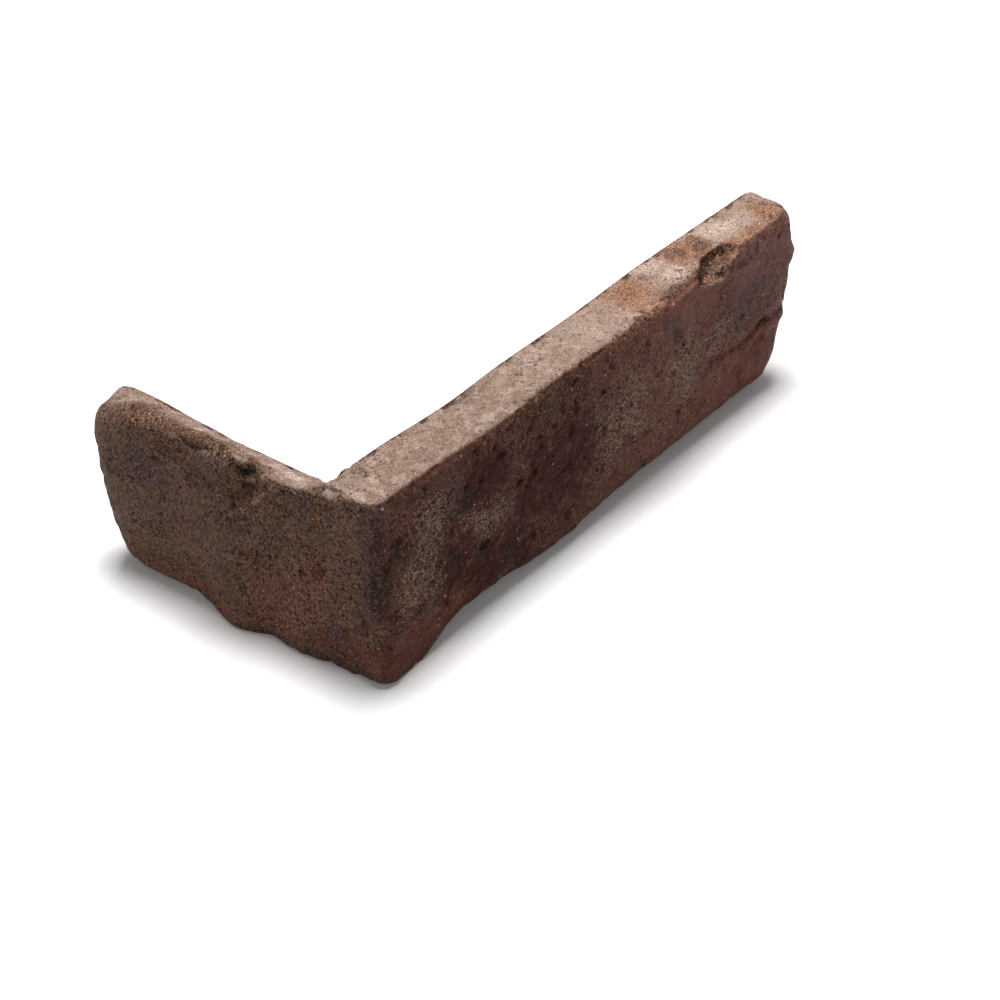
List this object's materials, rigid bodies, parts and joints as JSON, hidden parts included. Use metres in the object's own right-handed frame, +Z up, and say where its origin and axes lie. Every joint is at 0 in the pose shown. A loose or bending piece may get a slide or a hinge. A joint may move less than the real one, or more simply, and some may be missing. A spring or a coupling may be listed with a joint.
{
  "type": "thin brick corner",
  "caption": "L-shaped fired-clay slip for an outside wall corner, with worn moulded faces outside and flat sawn faces inside.",
  "frame": {"origin": "middle of the part's box at its bed, which lies on Z = 0", "axes": "+X along the long leg from the corner to its free end, +Y along the short leg to its free end, +Z up from the bed"},
  "size_m": [0.204, 0.106, 0.0605],
  "materials": {
    "fired_clay": "rough sanded fired clay, dark red-brown, with a sawn back"
  },
  "bodies": {
    "root": {"brick_corner": "fired_clay"}
  },
  "joints": []
}
